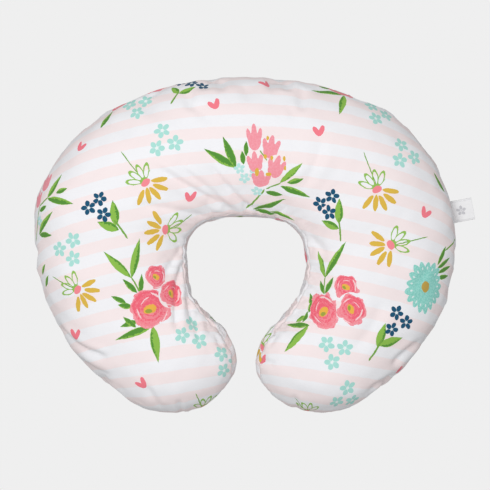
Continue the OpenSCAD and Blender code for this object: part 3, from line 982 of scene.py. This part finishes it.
# The aster: place, turn and both radii
ASTER = (221, -173, 0, 30, 35)
# Pollen on the tulips: place and both radii
POLLEN = (
    (26, 7, 1.6, 3), (23, -15, 2, 2.6), (31, -17, 1.8, 2.8), (46, -18, 1.7, 3), (13, -34, 2.6, 5),
    (27, -37, 3.4, 2.6), (47, -29, 1.4, 3),
)


def stroke(x, y, tip_x, tip_y, wide, tone=0.0):
    """The place of a shape drawn from its base to its tip: middle, turn, half sizes and tone."""
    way = (tip_x - x, tip_y - y)
    turn = math.degrees(math.atan2(way[1], way[0]))
    return (x + tip_x) / 2, (y + tip_y) / 2, turn, math.hypot(*way) / 2, wide, tone


class Print(Shade):
    """A material that draws motifs over each other on cloth measured in millimetres."""

    def __init__(self, name):
        super().__init__(name)
        self.flat = self.millimetres("fabric")
        wobble = self.noise(self.flat, 0.16, 2, 0.6, output=1)
        shift = self.node("Mapping", wobble, (-0.5, -0.5, 0), (0, 0, 0), (1, 1, 0))
        self.cloth = self.vector("MULTIPLY_ADD", shift, (HAND_WOBBLE, HAND_WOBBLE, 0), self.flat)
        self.brush = self.noise(self.flat, 0.42, 3, 0.6)

    def pick(self, places):
        """Coordinates in whichever of several places a point lies, 1 at its edge: whole, x, y and tone.

        The nearly unseen share of the colour makes Cycles finish the layer below first. Without it, it
        works out every place of every layer before any colour, and runs out of room to hold them.
        """
        cloth = self.vector("MULTIPLY_ADD", self.colour, (UNSEEN, UNSEEN, 0), self.cloth)
        chosen = (3, 3, 0)
        for x, y, turn, long, wide, tone in places:
            local = self.place(cloth, (x, y, -tone), turn, (long, wide, 1))
            chosen = self.mix(self.length(local) < 1.02, chosen, local, "VECTOR")
        return chosen, *self.split(chosen)

    def paint(self, mask, ink):
        self.colour = self.mix(mask, self.colour, ink)

    def ellipse(self, vector, at, size, turn=0.0):
        """Distance from the middle of an ellipse, 1 at its edge."""
        return self.length(self.place(vector, (*at, 0), turn, (*size, 1)))

    def folded(self, vector, count, turn=0.0):
        """Coordinates with every sector of a turn laid on the first one, the angle, and the distance."""
        x, y, _ = self.split(vector)
        around = self.math("ARCTAN2", y, x) + math.radians(turn)
        sector = 2 * math.pi / count
        inner = self.math("WRAP", around, sector / 2, -sector / 2)
        far = self.length(self.join(x, y))
        return self.join(self.math("COSINE", inner) * far, self.wave(inner) * far), around, far

    def leaves(self, places):
        _, x, y, tone = self.pick(places)
        wide = (0.86 - 0.86 * (x * x)) * (1.0 - 0.28 * x)
        dark = 1.5 * self.brush + (y - 0.75) < wide * (1.8 / LEAF_TONE * tone - 0.95)
        self.paint(abs(y) < wide, colour(143, 192, 80))
        self.paint((abs(y) < 0.84 * wide) * dark, colour(88, 148, 58))

    def stalks(self, places):
        _, x, y, _ = self.pick(places)
        self.paint(abs(y + (0.35 * (x * x) - 0.2)) < 0.62, colour(122, 172, 70))

    def blossoms(self, places):
        local, _, _, tone = self.pick(places)
        petal, _, far = self.folded(local, 5)
        leaf = self.ellipse(petal, (0.6, 0), (0.4, 0.31)) < 1
        neck = self.ellipse(petal, (0.3, 0), (0.3, 0.14)) < 1
        ink = self.mix(tone > 0.06, colour(22, 84, 117), colour(174, 228, 219))
        ink = self.mix(tone > 0.14, ink, colour(190, 234, 230))
        self.paint(self.either(leaf, neck), ink)
        self.paint(far < 0.2, colour(240, 246, 246))

    def hearts(self, places):
        _, x, y, _ = self.pick(places)
        lobe = self.ellipse(self.join(abs(x), y), (0.34, 0.06), (0.8, 0.34), 62)
        self.paint(lobe < 1, colour(250, 130, 144))

    def tulips(self, places):
        _, x, y, _ = self.pick(places)
        half = self.join(abs(x), y)
        cup = self.ellipse(half, (0, -0.26), (0.74, 0.66))
        middle = self.ellipse(half, (0, 0.3), (0.3, 0.68))
        side = self.ellipse(half, (0.6, 0.1), (0.25, 0.58), -20)
        flower = self.math("MINIMUM", cup, self.math("MINIMUM", middle, side)) < 1
        self.paint(flower, self.mix(self.brush > 0.52, colour(247, 152, 165), colour(249, 164, 176)))

    def daisies(self, places):
        local = self.pick(places)[0]
        petal, around, _ = self.folded(local, 12)
        longer = 0.06 * self.wave(3.7 * around) + 0.64
        from_middle = self.vector("SUBTRACT", petal, self.join(longer, 0.0))
        leaf = self.ellipse(from_middle, (0, 0), (0.36, 0.115)) < 1
        self.paint((abs(around) < math.radians(76)) * leaf, colour(226, 187, 76))
        loop, around, _ = self.folded(local, 12, 15)
        outline = abs(self.ellipse(loop, (0.5, 0), (0.32, 0.115)) - 1.0) < 0.2
        behind = abs(around - math.radians(15)) > math.radians(118)
        self.paint(behind * outline, colour(150, 196, 92))
        self.paint(self.ellipse(local, (0, 0), (0.15, 0.22)) < 1, colour(250, 142, 152))

    def roses(self, places):
        local, x, y, _ = self.pick(places)
        far = self.length(self.join(x, y))
        lobes = 0.6 * self.noise(self.flat, 0.08, 1) - 0.3
        ragged = 0.16 * self.brush - 0.08
        flower = far + (lobes + ragged) < 0.9
        self.paint(flower, colour(247, 138, 150))
        strokes = self.wave(30.0 * (far + 0.5 * (lobes + self.brush)))
        self.paint(flower * (strokes > 0.45), colour(249, 160, 170))
        upper = y + 1.5 * lobes > -0.05
        heart = self.ellipse(local, (-0.04, 0.08), (0.78, 0.74)) + lobes < 1
        self.paint(heart * self.either(upper, strokes < -0.35), colour(244, 104, 124))
        self.paint(heart * (strokes > 0.72), colour(248, 140, 152))
        for at, size, width, start, end in ROSE_STROKES:
            ring = self.place(local, (*at, 0), (start + end) / 2, (size, size, 1))
            near = abs(self.length(ring) + ragged - 1.0) < width
            within = self.split(ring)[0] > math.cos(math.radians((end - start) / 2))
            self.paint(within * near, colour(252, 216, 219))
        eye = self.ellipse(local, (-0.02, -0.02), (0.32, 0.2), 8) + 3.0 * ragged
        self.paint(eye < 1, colour(240, 184, 78))
        self.paint(self.ellipse(local, (-0.1, -0.1), (0.16, 0.09), -10) < 1, colour(160, 166, 70))

    def aster(self, places):
        local = self.pick(places)[0]
        petal, around, far = self.folded(local, 17)
        flower = self.ellipse(petal, (0.42, 0), (0.5, 0.17)) + 0.09 * self.wave(5.0 * around) < 1
        ink = self.mix(self.brush > 0.5, colour(140, 214, 202), colour(160, 224, 214))
        self.paint(self.either(flower, far < 0.66), ink)
        self.paint(self.ellipse(petal, (0.66, 0.0), (0.06, 0.03)) < 1, colour(226, 244, 242))
        self.paint(self.ellipse(local, (0, 0), (0.19, 0.2)) < 1, colour(196, 164, 78))

    def pollen(self, places):
        _, x, y, _ = self.pick(places)
        self.paint(self.length(self.join(x, y)) < 1, colour(228, 184, 74))

    def stripes(self):
        """Pale stripes across the cloth, with edges a little uneven as if painted."""
        x, y, _ = self.split(self.cloth)
        within = self.math("PINGPONG", STRIPE_BEND * (x * x) + y, STRIPE / 2)
        share = self.node("MapRange", within, STRIPE * 0.235, STRIPE * 0.265, 0.0, 1.0)
        pink = self.mix(self.noise(self.flat, 0.03, 2), colour(250, 233, 234), colour(250, 237, 237))
        slub = self.noise(self.stretch(self.flat, (1, 3, 0)), 0.22, 3, 0.7)
        white = self.mix(slub, colour(242, 242, 246), colour(250, 250, 253))
        self.colour = self.mix(share, white, self.mix(slub, pink, colour(251, 239, 239)))


def printed_cotton():
    paper = Print("printed_cotton")
    paper.stripes()
    for layer in LEAVES:
        paper.leaves([stroke(*leaf, LEAF_TONE * dark) for *leaf, dark in layer])
    paper.stalks([stroke(*stalk) for stalk in STALKS])
    rng = np.random.default_rng(4)
    flowers = [(x, y, rng.uniform(0, 72), 9.2, 9.0, NAVY) for x, y in SPRIGS]
    flowers += [(x, y, rng.uniform(0, 72), 7, 7, AQUA) for x, y in TINY_BLOSSOMS]
    paper.blossoms(flowers)
    flowers = []
    for x, y, turn in CLUSTERS:
        for way in np.radians((turn - 150, turn - 30, turn + 90)):
            at = (x + CLUSTER_REACH * math.cos(way), y + CLUSTER_REACH * math.sin(way))
            flowers.append((*at, rng.uniform(0, 72), 10.2, 9.8, MINT))
    paper.blossoms(flowers)
    paper.hearts([(x, y, turn, 9, 9, 0) for x, y, turn in HEARTS])
    paper.tulips([(*tulip, 0) for tulip in TULIPS])
    paper.daisies([(x, y, turn, r, r, 0) for x, y, turn, r in DAISIES])
    paper.aster([(*ASTER, 0)])
    paper.roses([(*rose, 0) for rose in ROSES])
    paper.pollen([(x, y, 0, w, h, 0) for x, y, w, h in POLLEN])
    paper.weave(paper.flat, 2.4, 0.06)
    return paper.finish(paper.colour, 0.88, specular=0.25, sheen=0.12)


# -------- plain materials

def thread_material():
    shade = Shade("twisted_thread")
    fibres = shade.noise(shade.stretch(shade.millimetres(), (1, 1, 3)), 3.0, 3)
    shade.bump(fibres, 0.08)
    return shade.finish(shade.mix(fibres, colour(226, 214, 214), colour(248, 242, 242)), 0.6, sheen=0.3)


def tape_material():
    """Woven tape: a fine herringbone that changes its slant every 2.2 mm across the tape."""
    shade = Shade("woven_tape")
    cloth = shade.millimetres("fabric")
    x, y, _ = shade.split(cloth)
    ribs = shade.wave(9.0 * (x + shade.math("PINGPONG", y, 2.2)))
    shade.bump(0.25 * shade.wave(12.0 * y) + 0.5 * ribs, 0.12)
    dust = shade.noise(cloth, 0.4, 3)
    return shade.finish(shade.mix(dust, colour(228, 224, 224), colour(244, 241, 240)), 0.75, sheen=0.2)


def coil_material():
    shade = Shade("nylon_coil")
    cloudy = shade.noise(shade.millimetres(), 0.8, 2)
    return shade.finish(shade.mix(cloudy, colour(230, 227, 224), colour(242, 240, 238)), 0.32, specular=0.5)


def metal_material():
    """Cast and tumbled zinc alloy under bright nickel, duller in patches."""
    shade = Shade("nickel_plate")
    place = shade.millimetres()
    grain = shade.noise(place, 1.6, 4, 0.6)
    scratches = shade.noise(shade.stretch(place, (9, 1, 3)), 1.2, 2)
    shade.bump(0.4 * scratches + grain, 0.03, 0.4)
    rough = shade.node("MapRange", grain, 0.3, 0.7, 0.2, 0.42)
    base = shade.mix(grain, colour(196, 194, 190), colour(222, 221, 218))
    return shade.finish(base, rough, specular=0.5, metal=1.0)


def ribbon_material():
    """White satin ribbon with a woven border and one small grey blossom."""
    shade = Print("satin_ribbon")
    shade.colour = shade.mix(shade.brush, colour(244, 244, 246), colour(250, 250, 251))
    x, y, _ = shade.split(shade.flat)
    border = abs(abs(y) - (LABEL_WIDTH / 2 - 2.2)) < 0.28
    dashes = shade.wave(3.6 * x) > -0.3
    shade.paint(dashes * border, colour(214, 214, 218))
    local = shade.pick([(LABEL_REACH * 0.52, 0, 18, 6.5, 6.5, 0)])[0]
    petal, _, far = shade.folded(local, 5)
    shade.paint(shade.ellipse(petal, (0.6, 0), (0.38, 0.3)) < 1, colour(206, 206, 211))
    shade.paint(far < 0.16, colour(206, 206, 211))
    shade.bump(0.3 * shade.wave(9.0 * x) + shade.wave(16.0 * y), 0.04, 0.5)
    return shade.finish(shade.colour, 0.42, specular=0.5, sheen=0.15)


def tag_material():
    """Satin tag, with its weave too fine to show at a distance."""
    shade = Shade("satin_tag")
    place = shade.millimetres()
    shade.bump(shade.wave(12.0 * shade.split(place)[0]), 0.03, 0.5)
    cloudy = shade.noise(place, 0.3, 2)
    return shade.finish(shade.mix(cloudy, colour(240, 240, 242), colour(249, 249, 250)), 0.45, specular=0.5)


def casing_material():
    shade = Shade("plain_cotton")
    cloth = shade.millimetres("fabric")
    shade.weave(cloth, 2.0, 0.08)
    slubs = shade.noise(cloth, 0.25, 3)
    return shade.finish(shade.mix(slubs, colour(236, 233, 226), colour(246, 244, 240)), 0.9, sheen=0.1)


def fibre_material():
    shade = Shade("polyester_wadding")
    place = shade.millimetres()
    tufts = shade.noise(place, 0.12, 8, 0.75)
    strands = shade.noise(shade.stretch(place, (1, 4, 1)), 0.9, 4, 0.7)
    shade.bump(0.4 * strands + tufts, 1.5, 0.9)
    return shade.finish(shade.mix(tufts, colour(232, 234, 238), colour(250, 250, 252)), 0.95, sheen=0.6)


def wear(material, *objects):
    """Gives a material to pieces and to CAD nodes."""
    for obj in objects:
        if obj.material_slots:
            obj.material_slots[0].material = material
        else:
            obj.data.materials.append(material)


nodes = frame["nodes"]
wear(printed_cotton(), upper_panel, lower_panel)
wear(thread_material(), outer_seam, hole_seam, zip_stitches, casing_seam)
wear(tape_material(), tape_upper, tape_lower)
wear(coil_material(), coil_upper, coil_lower)
wear(metal_material(), *(nodes["zip_" + part] for part in ("slider", "pull", "top_stops", "bottom_stop")))
wear(ribbon_material(), label)
wear(tag_material(), nodes["cover_care_label"], nodes["casing_label"])
wear(casing_material(), casing_upper, casing_lower)
wear(fibre_material(), fill)


# -------- camera, light and floor

VIEW_CENTRE = Vector((-1.3, -121.8, 68)) * MM
VIEW_WIDTH = 614 * MM
CAMERA_UP = 2.4
SENSOR = 36
FLOOR_REACH = 4000
camera = add_data("camera", bpy.data.cameras.new("camera"))
camera.data.sensor_width = SENSOR
camera.data.lens = SENSOR * CAMERA_UP / VIEW_WIDTH
camera.location = VIEW_CENTRE + Vector((0, 0, CAMERA_UP))
scene.camera = camera
scene.view_settings.view_transform = "Standard"


def lamp(name, where, size, power):
    light = bpy.data.lights.new(name, "AREA")
    light.energy = power
    light.size = size
    obj = add_data(name, light)
    obj.location = where
    obj.rotation_euler = (VIEW_CENTRE - Vector(where)).to_track_quat("-Z", "Y").to_euler()


lamp("key", (-0.4, 0.25, 2.0), 0.6, 15)
world = bpy.data.worlds.new("world")
world.use_nodes = True
sky = world.node_tree.nodes["Background"].inputs
sky["Color"].default_value = (1, 1, 1, 1)
sky["Strength"].default_value = 0.6
scene.world = world
corners = [(x * FLOOR_REACH, y * FLOOR_REACH, 0) for x, y in ((-1, -1), (1, -1), (1, 1), (-1, 1))]
floor = add_object("floor", corners, [(0, 1, 2, 3)])
# A backdrop that is the same pale grey wherever the camera sees it, and lights the pillow as a dull floor
paint = Shade("floor")
seen = paint.node("LightPath")
paint.feed(paint.inputs["Emission Strength"], seen)
paint.inputs["Emission Color"].default_value = colour(239, 239, 239)
wear(paint.finish(paint.mix(seen, (0.3, 0.3, 0.3, 1), (0, 0, 0, 1)), 1, specular=0), floor)
